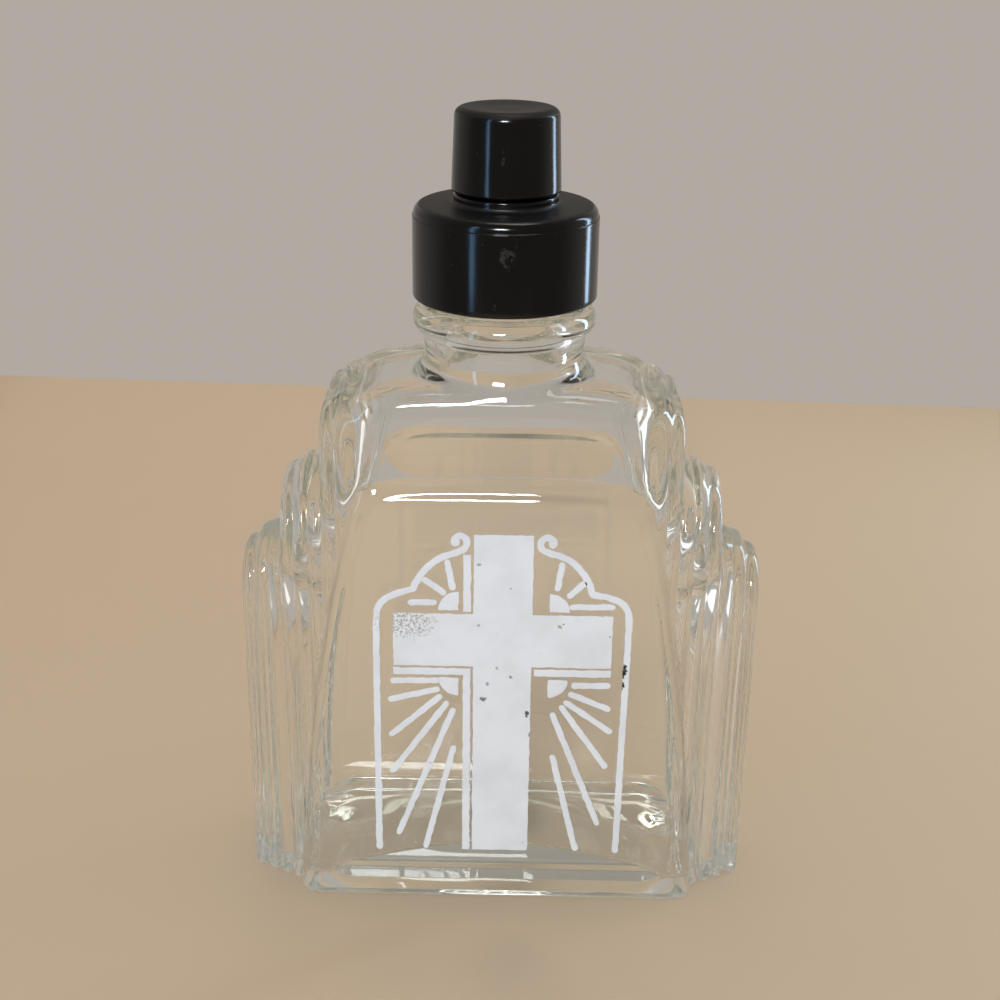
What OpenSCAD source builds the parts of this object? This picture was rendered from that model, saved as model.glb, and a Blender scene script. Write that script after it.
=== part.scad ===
// Stepped glass bottle for holy water, with a printed front and a two-part screw closure.
// Millimetres. Z is up, the printed front faces -Y, the origin is under the middle of the base.

/* [Glass body] */
// Width over the outer columns
body_width = 88.4; // [85:0.2:94]
// Width of the front block at its foot
foot_width = 69.6; // [66:0.2:72]
// Width of the shoulder
tower_width = 51.6; // [50.8:0.2:53]
// Width of the flat panel at its top
panel_top_width = 48.4; // [47:0.2:50]
// Depth over the foot band
body_depth = 32.8; // [31.6:0.2:36]
// How far the flat panels lie back from the foot band
panel_sink = 0.4; // [0.2:0.1:0.8]
// Height of the outer columns
outer_top = 66.2; // [63:0.2:68]
// Height of the middle columns
middle_top = 78.6; // [76:0.2:80]
// Height of the inner columns
inner_top = 92.4; // [90.4:0.1:93]
// Height of the shoulder
shoulder_top = 95; // [94.4:0.2:99]
// Glass at the sides of the cavity
wall = 4; // [3.5:0.25:4.5]
// Glass under the middle of the cavity
floor_thickness = 8; // [7:0.5:10]

/* [Columns] */
// How far the front of the innermost reed lies back from the panel
reed_set_back = 0.7; // [0.5:0.1:1.5]
// How fast the reeds step back towards the sides
reed_fall = 0.5; // [0.4:0.02:0.55]
// Overlap of neighbouring reeds, as a share of their spacing
reed_overlap = 0.12; // [0.06:0.02:0.2]

/* [Neck] */
// Radius of the neck
neck_radius = 13.3; // [13.1:0.1:13.8]
// Radius over the bead under the closure
bead_radius = 15; // [14.6:0.1:15.4]
// Height of the bead
bead_height = 5.2; // [4.4:0.2:5.6]
// Middle of the bead above the shoulder
bead_rise = 8.5; // [8:0.1:9.4]
// Radius of the bore
bore_radius = 9.6; // [9:0.1:10]

/* [Screw closure] */
// Radius of the collar
collar_radius = 15; // [14.8:0.1:16]
// Wall of the collar's skirt
skirt_wall = 1.15; // [1:0.05:1.3]
// Height of the collar
collar_height = 15; // [14.6:0.2:18]
// Top plate of the collar
collar_plate = 2.4; // [2:0.2:3]
// Clear way between the bead and the collar
collar_gap = 0.9; // [0.6:0.1:1.4]
// Pitch of the collar's thread, six turns to the inch
collar_pitch = 4.2333; // [4:0.0001:4.5]
// Radius of the ring under the small cap
ring_radius = 8.4; // [8.2:0.1:8.7]
// Height of the ring
ring_height = 1.7; // [1.4:0.1:2.2]
// Radius of the small cap at its foot
cap_radius = 8.75; // [8.7:0.05:9]
// Radius of the small cap at its top
cap_top_radius = 8.35; // [8.3:0.05:8.6]
// Height of the small cap
cap_height = 13; // [12.6:0.1:14.4]
// Top wall of the small cap
cap_plate = 2.6; // [2:0.2:3]
// Pitch of the small cap's thread
cap_pitch = 3; // [2.8:0.1:3.2]
// Thickness of both seals
liner_thickness = 1; // [0.8:0.1:1.2]
// Clearance between threads, and between a seal and what turns round it
fit_gap = 0.35; // [0.3:0.01:0.45]

/* [Print] */
// Thickness of the fired enamel
enamel_thickness = 0.12; // [0.1:0.02:0.18]
// The print's middle, to the right of the bottle's
print_shift = 0.6; // [-1:0.1:1]
// Bottom of the print
print_bottom = 10.2; // [9:0.2:12]
// Height of the cross
cross_height = 61; // [56:0.5:61.5]
// Width of the cross's beams
beam_width = 9.8; // [9:0.1:10.4]
// Span of the arms
arm_span = 36.6; // [34:0.2:37]
// Underside of the arms above the bottom of the print
arm_rise = 36.8; // [35:0.2:37]
// Width of the frame's line
frame_line = 1.15; // [0.8:0.05:1.4]
// Width of the frame, to the middle of its line
frame_width = 41.9; // [41:0.1:43]
// Width of a ray
ray_line = 1.2; // [0.8:0.05:1.3]
// Radius of a quarter sun
sun_radius = 3.4; // [3:0.1:3.5]

/* [Hidden] */
$fn = 72;
fine = 0.03;
margin = 0.6;
reach = 60;
foot_chamfer = 0.8;

half_width = body_width / 2;
half_depth = body_depth / 2;
panel_y = half_depth - panel_sink;
foot_half = foot_width / 2;
tower_half = tower_width / 2;
panel_half = panel_top_width / 2;
band_top = 7;
foot_corner = 2.5;

reed_total = 8;
reeds_inner = 2;
reeds_middle = 5;
reed_pitch = (half_width - panel_half - 0.3) / reed_total;
reed_r = reed_pitch * (1 + reed_overlap) / 2;
reed_curve = 1.36;
outer_round = 7.5;
middle_round = 5.5;
inner_round = 5;
tower_round = 12;
tower_flat = 16;
column_crown = 0.86;
ledge_z = 78;
ledge_in = 1.1;
shoulder_round = 4.5;

cavity_round = 5;
floor_bow = 150;
corner_floor = floor_thickness - 5.6;

bead_z = shoulder_top + bead_rise;
bead_r = bead_height / 2;
collar_z = bead_z + bead_r + collar_gap;
collar_top = collar_z + collar_height;
collar_under = collar_top - collar_plate;
lip_z = collar_under - liner_thickness;
skirt_inner = collar_radius - skirt_wall;
thread_depth = 1.1;
finish_radius = skirt_inner - fit_gap - thread_depth;
thread_foot = 1.9;
thread_crest = 0.9;
thread_turns = 1.25;
thread_below_lip = 2.4;
neck_thread_z = lip_z - thread_below_lip - thread_turns * collar_pitch;
collar_edge = 1.6;
collar_chamfer = 0.4;

ring_top = collar_top + ring_height;
cap_z = ring_top + 0.3;
cap_top = cap_z + cap_height;
cap_under = cap_top - cap_plate;
spout_top = cap_under - liner_thickness;
cap_inner = cap_top_radius - 0.95;
spout_thread_depth = 0.85;
spout_radius = cap_inner - fit_gap - spout_thread_depth;
spout_wall = 2;
spout_bore = spout_radius - spout_wall;
spout_end = 1.6;
spout_thread_foot = 1.2;
spout_thread_crest = 0.5;
spout_thread_turns = 1.5;
spout_thread_z = spout_top - 1.4 - spout_thread_turns * cap_pitch;
cap_edge = 1.5;
hole_r = 0.6;
hole_ring = 2.3;
hole_count = 6;

thread_steps = 40;
thread_fade = 6;
thread_bury = 0.3;

cross_low = print_bottom;
cross_high = print_bottom + cross_height;
arm_low = print_bottom + arm_rise;
arm_high = arm_low + beam_width;
beam_half = beam_width / 2;
shade_gap = 0.4;
shade_line = 1.4;
sun_side = beam_half + shade_gap + shade_line + 0.6;
sun_high = arm_high + 0.6;
sun_low = arm_low - 2.3;
frame_half = frame_width / 2;
frame_corner = 5.2;
frame_notch = 8.5;
frame_knee = arm_high - 0.7;
scroll_r = 1.0;
ray_side = beam_half + 1.3;
low_ray_z = arm_low - 2.8;
high_ray_z = arm_high + 1.9;
low_ray_angles = [0, 16, 40, 55.5, 68.8, 76.5];
low_ray_from = [4.8, 5.3, 5.7, 5.6, 6.2, 13.5];
low_ray_to = [11.8, 12.8, 16, 21.8, 32.4, 33.6];
high_ray_angles = [0, 38, 70];
high_ray_from = [4.7, 4.1, 3.9];
high_ray_to = [8.8, 7.4, 8];

// Place of reed k, counted from the middle, and where its front lies
function reed_x(k) = half_width - reed_r - (reed_total - k) * reed_pitch;
function reed_y(k) = panel_y - reed_set_back - reed_fall * pow(k - 1, reed_curve);

// Upright shape with chamfered feet and round top corners
module gable(half, top, round_r, chamfer = foot_chamfer) {
  polygon([
    [-half + chamfer, 0], [half - chamfer, 0], [half, chamfer],
    [half, top - round_r], [-half, top - round_r], [-half, chamfer]
  ]);
  translate([-(half - round_r), top - round_r - fine])
    square([2 * (half - round_r), round_r]);
  for (side = [-1, 1])
    translate([side * (half - round_r), top - round_r])
      circle(r = round_r - fine);
}

// Seen from the front, drawn through the depth
module from_front() {
  translate([0, reach, 0])
    rotate([90, 0, 0])
      linear_extrude(height = 2 * reach)
        children();
}

// Seen from the side, drawn through the width
module from_side() {
  translate([-reach, 0, 0])
    rotate([90, 0, 90])
      linear_extrude(height = 2 * reach)
        children();
}

// Plan of the columns from reed first to reed last, on both sides: a core through their centres, and the reeds
module reed_plan(first, last) {
  edge = concat(
    [for (k = [first : last]) [reed_x(k), reed_y(k) - reed_r]],
    [[reed_x(last) + reed_r - 0.12, reed_y(last) - reed_r]]
  );
  count = len(edge) - 1;
  polygon(concat(
    [for (i = [0 : count]) [edge[i][0], edge[i][1]]],
    [for (i = [0 : count]) [edge[count - i][0], -edge[count - i][1]]],
    [for (i = [0 : count]) [-edge[i][0], -edge[i][1]]],
    [for (i = [0 : count]) [-edge[count - i][0], edge[count - i][1]]]
  ));
  for (k = [first : last])
    for (side = [-1, 1])
      for (face = [-1, 1])
        translate([side * reed_x(k), face * (reed_y(k) - reed_r)])
          circle(r = reed_r);
}

// One step of columns, whose tops are round from front to back
module columns(first, last, top, round_r) {
  intersection() {
    from_front()
      gable(reed_x(last) + reed_r + margin, top, round_r + margin, foot_chamfer + margin);
    from_side()
      gable(reed_y(first) + margin, top, column_crown * reed_y(first) + margin, foot_chamfer + margin);
    translate([0, 0, -1])
      linear_extrude(height = top + 2)
        reed_plan(first, last);
  }
}

// Front view of the block that carries the print
module block_front() {
  intersection() {
    polygon([
      [-foot_half + foot_chamfer, 0], [foot_half - foot_chamfer, 0], [foot_half, foot_chamfer],
      [foot_half, band_top + 1], [foot_half - 2.6, 21], [panel_half + 3.6, 43], [panel_half, 71],
      [tower_half, 84], [tower_half, shoulder_top + 1], [-tower_half, shoulder_top + 1], [-tower_half, 84],
      [-panel_half, 71], [-panel_half - 3.6, 43], [-foot_half + 2.6, 21],
      [-foot_half, band_top + 1], [-foot_half, foot_chamfer]
    ]);
    union() {
      translate([-foot_width, -1])
        square([2 * foot_width, shoulder_top - tower_round + 1]);
      translate([-tower_flat, 0])
        square([2 * tower_flat, shoulder_top - fine]);
      for (side = [-1, 1])
        translate([side * tower_flat, shoulder_top - tower_round])
          circle(r = tower_round, $fn = 120);
    }
  }
}

// Side view of the same block: foot band, flat panel, leaning shoulder and its round edge
module block_side() {
  edge_y = panel_y - ledge_in - shoulder_round;
  edge_z = shoulder_top - shoulder_round;
  polygon([
    [-half_depth + foot_chamfer, 0], [half_depth - foot_chamfer, 0], [half_depth, foot_chamfer],
    [half_depth, band_top], [panel_y, band_top + 1], [panel_y, ledge_z],
    [panel_y - ledge_in, edge_z], [-panel_y + ledge_in, edge_z], [-panel_y, ledge_z],
    [-panel_y, band_top + 1], [-half_depth, band_top], [-half_depth, foot_chamfer]
  ]);
  translate([-edge_y, edge_z - fine])
    square([2 * edge_y, shoulder_round]);
  for (face = [-1, 1])
    translate([face * edge_y, edge_z])
      circle(r = shoulder_round - fine);
}

module block() {
  intersection() {
    from_front() block_front();
    from_side() block_side();
    linear_extrude(height = shoulder_top + 1)
      round_plate(foot_half, half_depth, foot_corner);
  }
}

// Flat shape with four round corners
module round_plate(half_x, half_y, round_r) {
  square([2 * (half_x - round_r), 2 * half_y], center = true);
  square([2 * half_x, 2 * (half_y - round_r)], center = true);
  for (side = [-1, 1])
    for (face = [-1, 1])
      translate([side * (half_x - round_r), face * (half_y - round_r)])
        circle(r = round_r - fine / 2);
}

// Neck, bead and finish, without the bore
module neck_profile() {
  fillet = 1.6;
  lip_edge = 0.8;
  translate([0, shoulder_top - bead_rise])
    square([neck_radius, bead_rise + bead_rise]);
  translate([bead_radius - bead_r, bead_z])
    circle(r = bead_r);
  polygon([
    [0, bead_z], [finish_radius, bead_z], [finish_radius, lip_z - lip_edge],
    [finish_radius - lip_edge, lip_z], [0, lip_z]
  ]);
  difference() {
    translate([neck_radius - 1, shoulder_top - 1])
      square([fillet + 1, fillet + 1]);
    translate([neck_radius + fillet, shoulder_top + fillet])
      circle(r = fillet + 0.1);
  }
}

// Helical ridge whose section swells out of its carrier and dies back into it
module ridge(root, crest, pitch, turns, z0, foot_w, crest_w) {
  last = ceil(turns * thread_steps);
  out = sign(crest - root);
  swell = [for (i = [0 : last]) min(1, i / thread_fade, (last - i) / thread_fade)];
  angle = [for (i = [0 : last]) 360 * turns * i / last];
  height = [for (i = [0 : last]) z0 + pitch * turns * i / last];
  low = root - out * thread_bury;
  tip = [for (i = [0 : last]) root - out * 0.15 + (crest - root + out * 0.15) * swell[i]];
  spots = [
    for (i = [0 : last])
      for (c = [[low, -foot_w / 2], [tip[i], -crest_w / 2], [tip[i], crest_w / 2], [low, foot_w / 2]])
        [c[0] * cos(angle[i]), c[0] * sin(angle[i]), height[i] + c[1]]
  ];
  sides = [
    for (i = [0 : last - 1])
      for (j = [0 : 3])
        for (t = [[0, 4, 1], [1, 4, 5]])
          [for (v = t) 4 * i + (v < 4 ? 0 : 4) + (j + (v % 4)) % 4]
  ];
  ends = [[0, 1, 2], [0, 2, 3], [4 * last + 2, 4 * last + 1, 4 * last], [4 * last + 3, 4 * last + 2, 4 * last]];
  skin = concat(sides, ends);
  polyhedron(spots, out < 0 ? skin : [for (f = skin) [f[2], f[1], f[0]]]);
}

// Plan of the cavity, which narrows under the reeds
module cavity_plan() {
  middle = reed_x(reeds_inner) - 0.2;
  round_plate(middle, panel_y - wall, cavity_round);
  round_plate(reed_x(reeds_middle) - 1.2, reed_y(reeds_middle) - wall + 0.6, cavity_round - 1);
  round_plate(half_width - wall - 0.6, reed_y(reed_total) - wall + 0.8, cavity_round - 1.6);
}

module cavity_front() {
  difference() {
    union() {
      for (s = [
        [half_width - wall - 0.4, outer_top - wall - 2, 8],
        [reed_x(reeds_middle) - wall + 0.5, middle_top - wall - 2.4, 7],
        [reed_x(reeds_inner) - wall + 0.4, inner_top - wall - 3, 6],
        [tower_half - wall, shoulder_top - wall, 10]
      ])
        translate([0, corner_floor])
          gable(s[0], s[1] - corner_floor, s[2]);
    }
    translate([0, floor_thickness - floor_bow])
      circle(r = floor_bow, $fn = 400);
  }
}

module cavity() {
  intersection() {
    linear_extrude(height = shoulder_top)
      cavity_plan();
    from_front() cavity_front();
    from_side()
      translate([0, corner_floor])
        gable(panel_y - wall + fine, shoulder_top - wall - corner_floor + 2 * fine, 7);
  }
  translate([0, 0, shoulder_top - 3 * wall])
    cylinder(r = bore_radius, h = lip_z - shoulder_top + 3 * wall + 1);
}

module glass_bottle() {
  color([0.78, 0.86, 0.84, 0.5])
    difference() {
      union() {
        block();
        columns(1, reeds_inner, inner_top, inner_round);
        columns(reeds_inner + 1, reeds_middle, middle_top, middle_round);
        columns(reeds_middle + 1, reed_total, outer_top, outer_round);
        rotate_extrude()
          neck_profile();
        ridge(finish_radius, finish_radius + thread_depth, collar_pitch, thread_turns, neck_thread_z,
          thread_foot, thread_crest);
      }
      cavity();
    }
}

// Print drawn on the front panel
module printed() {
  color([0.95, 0.95, 0.95])
    translate([print_shift, -panel_y, 0])
      rotate([90, 0, 0])
        linear_extrude(height = enamel_thickness)
          children();
}

module cross_enamel() {
  printed() {
    translate([-beam_half, cross_low])
      square([beam_width, cross_height]);
    translate([-arm_span / 2, arm_low])
      square([arm_span, beam_width]);
  }
}

// Part of a ring of the frame's line, from one angle to a right angle further
module quarter_line(radius) {
  intersection() {
    difference() {
      circle(r = radius + frame_line / 2);
      circle(r = radius - frame_line / 2);
    }
    square(2 * radius);
  }
}

// Half of the arch: upright, round knee, upper arc and scroll
module half_frame() {
  scroll_x = frame_half - frame_corner - frame_notch;
  scroll_z = frame_knee + frame_corner - 0.8 + frame_notch;
  translate([frame_half - frame_line / 2, cross_low])
    square([frame_line, frame_knee - cross_low]);
  translate([frame_half - frame_corner, frame_knee])
    quarter_line(frame_corner);
  translate([scroll_x, frame_knee + frame_corner - 0.8])
    quarter_line(frame_notch);
  translate([scroll_x - 0.2, scroll_z + scroll_r])
    circle(r = scroll_r + frame_line / 2);
}

module frame_enamel() {
  printed()
    for (side = [0, 1])
      mirror([side, 0, 0])
        half_frame();
}

// Rays that leave one point at the given angles, between two radii
module fan(angles, from, to) {
  for (i = [0 : len(angles) - 1])
    rotate(angles[i])
      translate([from[i], -ray_line / 2])
        square([to[i] - from[i], ray_line]);
}

module ray_enamel() {
  printed()
    for (side = [0, 1])
      mirror([side, 0, 0]) {
        translate([ray_side, low_ray_z])
          mirror([0, 1, 0])
            fan(low_ray_angles, low_ray_from, low_ray_to);
        translate([ray_side, high_ray_z])
          fan(high_ray_angles, high_ray_from, high_ray_to);
      }
}

// Quarter of a disc, to the right of and above its corner
module quarter_sun() {
  intersection() {
    circle(r = sun_radius);
    square(2 * sun_radius);
  }
}

module sun_enamel() {
  printed()
    for (side = [0, 1])
      mirror([side, 0, 0]) {
        translate([sun_side, sun_high])
          quarter_sun();
        translate([sun_side, sun_low])
          mirror([0, 1, 0])
            quarter_sun();
      }
}

module shade_enamel() {
  inner = beam_half + shade_gap;
  under = arm_low - shade_gap - shade_line;
  printed() {
    translate([-inner - shade_line, cross_low])
      square([shade_line, under + shade_line - cross_low]);
    translate([-arm_span / 2, under])
      square([arm_span / 2 - inner, shade_line]);
    translate([-inner - shade_line, arm_high + shade_gap])
      square([shade_line, cross_high - arm_high - 4]);
    translate([inner, under])
      square([arm_span / 2 - inner, shade_line]);
  }
}

// Collar, ring and spout as one section, without the hollows
module collar_profile() {
  polygon([
    [0, collar_z], [collar_radius - collar_chamfer, collar_z], [collar_radius, collar_z + collar_chamfer],
    [collar_radius, collar_top - collar_edge], [0, collar_top - collar_edge]
  ]);
  translate([0, collar_top - collar_edge - fine])
    square([collar_radius - collar_edge, collar_edge]);
  translate([collar_radius - collar_edge, collar_top - collar_edge])
    circle(r = collar_edge - fine);
  translate([0, collar_top - 1])
    square([ring_radius, ring_height + 1]);
  translate([0, ring_top - 1])
    square([spout_radius, spout_top - ring_top + 1]);
}

module collar_cap() {
  color([0.03, 0.03, 0.035]) {
    difference() {
      rotate_extrude()
        difference() {
          collar_profile();
          translate([-1, collar_z - 1])
            square([skirt_inner + 1, collar_under - collar_z + 1]);
          translate([-1, collar_under - 1])
            square([spout_bore + 1, spout_top - spout_end - collar_under + 1]);
        }
      translate([0, 0, spout_top - 2 * spout_end])
        cylinder(r = hole_r, h = 3 * spout_end);
      for (i = [0 : hole_count - 1])
        rotate(360 * i / hole_count)
          translate([hole_ring, 0, spout_top - 2 * spout_end])
            cylinder(r = hole_r, h = 3 * spout_end);
    }
    ridge(skirt_inner, skirt_inner - thread_depth, collar_pitch, thread_turns,
      neck_thread_z - collar_pitch / 2, thread_foot, thread_crest);
    ridge(spout_radius, spout_radius + spout_thread_depth, cap_pitch, spout_thread_turns,
      spout_thread_z, spout_thread_foot, spout_thread_crest);
  }
}

module collar_liner() {
  color([0.86, 0.83, 0.76])
    translate([0, 0, lip_z])
      difference() {
        cylinder(r = skirt_inner - fit_gap - 0.2, h = liner_thickness);
        translate([0, 0, -1])
          cylinder(r = bore_radius - 0.4, h = liner_thickness + 2);
      }
}

// Small cap as one section, without the hollow
module cap_profile() {
  polygon([
    [0, cap_z], [cap_radius - collar_chamfer, cap_z], [cap_radius, cap_z + collar_chamfer],
    [cap_top_radius, cap_top - cap_edge], [0, cap_top - cap_edge]
  ]);
  translate([0, cap_top - cap_edge - fine])
    square([cap_top_radius - cap_edge, cap_edge]);
  translate([cap_top_radius - cap_edge, cap_top - cap_edge])
    circle(r = cap_edge - fine);
}

module top_cap() {
  color([0.03, 0.03, 0.035]) {
    rotate_extrude()
      difference() {
        cap_profile();
        translate([-1, cap_z - 1])
          square([cap_inner + 1, cap_under - cap_z + 1]);
      }
    ridge(cap_inner, cap_inner - spout_thread_depth, cap_pitch, spout_thread_turns,
      spout_thread_z - cap_pitch / 2, spout_thread_foot, spout_thread_crest);
  }
}

module top_cap_liner() {
  color([0.86, 0.83, 0.76])
    translate([0, 0, spout_top])
      cylinder(r = cap_inner - fit_gap - 0.1, h = liner_thickness);
}

glass_bottle();
cross_enamel();
frame_enamel();
ray_enamel();
sun_enamel();
shade_enamel();
collar_cap();
collar_liner();
top_cap();
top_cap_liner();
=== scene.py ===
import bmesh
import bpy
import numpy as np
from mathutils import Matrix


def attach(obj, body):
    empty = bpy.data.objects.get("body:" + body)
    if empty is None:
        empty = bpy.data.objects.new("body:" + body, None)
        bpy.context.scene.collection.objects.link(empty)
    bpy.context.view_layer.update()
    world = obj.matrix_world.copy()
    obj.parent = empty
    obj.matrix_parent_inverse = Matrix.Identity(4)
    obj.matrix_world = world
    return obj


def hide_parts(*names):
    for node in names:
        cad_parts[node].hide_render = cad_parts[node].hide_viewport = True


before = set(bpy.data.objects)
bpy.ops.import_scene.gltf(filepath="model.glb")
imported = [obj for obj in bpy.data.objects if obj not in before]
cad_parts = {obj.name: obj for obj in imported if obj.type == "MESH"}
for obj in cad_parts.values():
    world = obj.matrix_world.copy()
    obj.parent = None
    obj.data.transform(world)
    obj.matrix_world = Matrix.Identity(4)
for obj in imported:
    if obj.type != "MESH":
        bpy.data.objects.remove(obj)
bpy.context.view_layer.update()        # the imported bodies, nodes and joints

mm = 0.001
weldReach = 2e-6         # m
print("frame loaded:", ", ".join(sorted(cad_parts)))

# Camera
view = dict(
    focal=56.31,          # mm
    sensor=36,
    distance=247.575,     # mm in front of the bottle's axis
    height=174.604,
    sideways=-0.301,
    tiltDown=22.773,      # degrees
    roll=0.817,
    turn=-0.489,
    nearest=0.005,        # m, nothing closer is drawn
)


# Looks along +Y, is tilted down, rolled about its line of sight and carried round the bottle's axis
def placeCamera(v):
    tilt, roll, turn = np.radians([v["tiltDown"], v["roll"], v["turn"]])
    across = np.array([1.0, 0.0, 0.0])
    ahead = np.array([0.0, np.cos(tilt), -np.sin(tilt)])
    up = np.array([0.0, np.sin(tilt), np.cos(tilt)])
    spin = np.array([[np.cos(turn), np.sin(turn), 0], [-np.sin(turn), np.cos(turn), 0], [0, 0, 1]])
    right = np.cos(roll) * across + np.sin(roll) * up
    top = np.cos(roll) * up - np.sin(roll) * across
    place = np.array([v["sideways"], -v["distance"], v["height"]]) * mm
    matrix = np.eye(4)
    matrix[:3, :3] = np.stack([spin @ axis for axis in (right, top, -ahead)], 1)
    matrix[:3, 3] = spin @ place
    camera = bpy.data.objects.new("camera", bpy.data.cameras.new("camera"))
    camera.data.sensor_fit = "HORIZONTAL"
    camera.data.sensor_width = v["sensor"]
    camera.data.lens = v["focal"]
    camera.data.clip_start = v["nearest"]
    camera.matrix_world = Matrix(matrix.tolist())
    bpy.context.scene.collection.objects.link(camera)
    bpy.context.scene.camera = camera


placeCamera(view)
print("camera placed")


# Shared shape tools, all in mm until a mesh is made
def fade(a, b, t):                      # 0 up to a, 1 from b on, smooth between
    s = np.clip((t - a) / (b - a), 0, 1)
    return s * s * (3 - 2 * s)


def join(a, b, k):                      # union of two distance fields with a fillet about k wide
    h = np.clip(0.5 + 0.5 * (b - a) / k, 0, 1)
    return b + (a - b) * h - k * h * (1 - h)


def meet(a, b, k):                      # overlap of two fields, its edge rounded about k wide
    return -join(-a, -b, k)


# Smooth curve through a table's rows: cubics whose slope at a row is half the step between its neighbours
def curveThrough(table, count):
    t = np.asarray(table, float)
    padded = np.vstack([2 * t[0] - t[1], t, 2 * t[-1] - t[-2]])
    s = np.linspace(0, len(t) - 1, count)
    i = np.clip(s.astype(int), 0, len(t) - 2)
    f = (s - i)[:, None]
    a, b, c, d = padded[i], padded[i + 1], padded[i + 2], padded[i + 3]
    return 0.5 * (2 * b + (c - a) * f + (2 * a - 5 * b + 4 * c - d) * f**2 + (3 * b - a - 3 * c + d) * f**3)


def gridFaces(ids, wrapRows=False, wrapCols=False):   # quads of a grid of vertex numbers, rows by columns
    if wrapRows:
        ids = np.vstack([ids, ids[:1]])
    if wrapCols:
        ids = np.hstack([ids, ids[:, :1]])
    return np.stack([ids[:-1, :-1], ids[1:, :-1], ids[1:, 1:], ids[:-1, 1:]], -1).reshape(-1, 4)


def gridPart(points, **wrap):           # the points of a grid as one list, and its quads
    ids = np.arange(points.shape[0] * points.shape[1]).reshape(points.shape[:2])
    return points.reshape(-1, 3), gridFaces(ids, **wrap)


# Mesh from points in mm and faces, welded where it has seams, with its own normals where they are given
def makePiece(name, points, faces, normals=None, weld=False):
    mesh = bpy.data.meshes.new(name)
    mesh.from_pydata((np.asarray(points) * mm).tolist(), [], [list(map(int, f)) for f in faces])
    mesh.validate()
    piece = bpy.data.objects.new(name, mesh)
    bpy.context.scene.collection.objects.link(piece)
    if weld:
        b = bmesh.new()
        b.from_mesh(mesh)
        bmesh.ops.remove_doubles(b, verts=b.verts, dist=weldReach)
        bmesh.ops.recalc_face_normals(b, faces=b.faces)
        b.to_mesh(mesh)
        b.free()
    mesh.shade_smooth()
    if normals is not None:
        mesh.normals_split_custom_set_from_vertices(normals.tolist())
    return piece


# The glass bottle
glass = dict(
    panelDepth=16.0,      # flat panel, half the depth
    panelTop=77.4,
    panelHalf=24.0,       # its half width at the top
    panelFoot=33.8,       # and at the foot
    panelEdge=1.8,        # rounding of its sides
    panelCorner=4.6,
    panelBlend=2.0,       # fillet between the panel and the tower
    footDepth=16.4,       # foot band, half the depth
    footHalf=34.8,
    footTop=7.2,
    footSlope=1.0,        # half the height over which the band falls back to the panel
    flareFade=(4, 13),    # heights between which the foot's extra width dies out
    footEdge=0.9,         # extra rounding of the foot's sides
    footEdgeFade=(4, 16),
    towerHalf=25.7,
    towerDepth=15.4,
    towerTop=95.0,
    towerFall=1.8,        # how much lower the shoulder lies at this distance from the middle
    towerFallAt=22,
    towerEdge=4.0,        # rounding of its front edge
    towerCorner=3.5,      # and of its corners
    towerSink=3.0,        # how far it draws back behind the panel
    towerSinkFade=(69, 76),
    waistAt=78.2,
    waistDip=0.65,
    waistReach=3.0,
    reeds=8,
    reedRadius=1.379,
    reedPitch=2.4625,
    outerEdge=44.2,
    reedFront=15.2,       # front of the innermost reed
    reedFall=0.5,
    reedCurve=1.36,
    reedFlat=0.4,         # half the level stretch along the top of a reed
    innerCrown=6.5,       # the first step's reeds bend back at the top in a smaller round
    steps=((2, 92.6, 5.0), (5, 78.6, 5.5), (8, 66.2, 7.5)),   # last reed, top, corner curve
    reedBlend=0.35,       # fillet in the valleys between reeds
    topBlend=1.5,         # how much softer they are at a step's top
    topBlendFade=(9, 2),  # between these distances below it
    columnBlend=0.5,      # fillet between the panel and its reeds
    towerBlend=2.2,       # how much softer it is between the tower and its reeds
    towerBlendFade=(74, 82),
    heel=1.5,
    pushUp=0.15,          # depth of the recess under the base
    recessWide=(33.5, 32.0),   # where it begins and where it is full, across
    recessDeep=(13.8, 12.6),   # and front to back
    neckRadius=13.3,
    neckLow=93,
    neckFillet=3.0,
    rimWide=15.2,         # where the shoulder's grid hands over to the neck's
    rimDeep=13.95,
)


def archHeight(x, top, edge, curve):    # level top that bends down in a quarter round towards its edge
    return top - curve + np.sqrt(np.maximum(curve**2 - np.maximum(x - (edge - curve), 0) ** 2, 0))


def towerLine(x):                       # top of the shoulder, which falls away towards its sides
    return glass["towerTop"] - glass["towerFall"] * (x / glass["towerFallAt"]) ** 4


reedNumber = np.arange(glass["reeds"])
reedX = glass["outerEdge"] - glass["reedRadius"] - reedNumber[::-1] * glass["reedPitch"]
reedY = glass["reedFront"] - glass["reedFall"] * reedNumber ** glass["reedCurve"]
stepLast, stepTop, stepCurve = zip(*glass["steps"])
stepFirst = (0,) + stepLast[:-1]
stepEdge = [reedX[last - 1] + glass["reedRadius"] for last in stepLast]
reedTop = np.concatenate([
    archHeight(reedX[first:last], top, edge, curve)
    for first, last, top, edge, curve in zip(stepFirst, stepLast, stepTop, stepEdge, stepCurve)
])
reedStep = np.repeat(stepTop, np.subtract(stepLast, stepFirst))   # top of the step that a reed belongs to
reedCrown = reedY - glass["reedRadius"] - glass["reedFlat"]       # round in which its top bends back
reedCrown[:stepLast[0]] = glass["innerCrown"]
crownY = reedY - glass["reedRadius"] - reedCrown                  # middle of that round
crownZ = reedTop - glass["reedRadius"] - reedCrown


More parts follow.
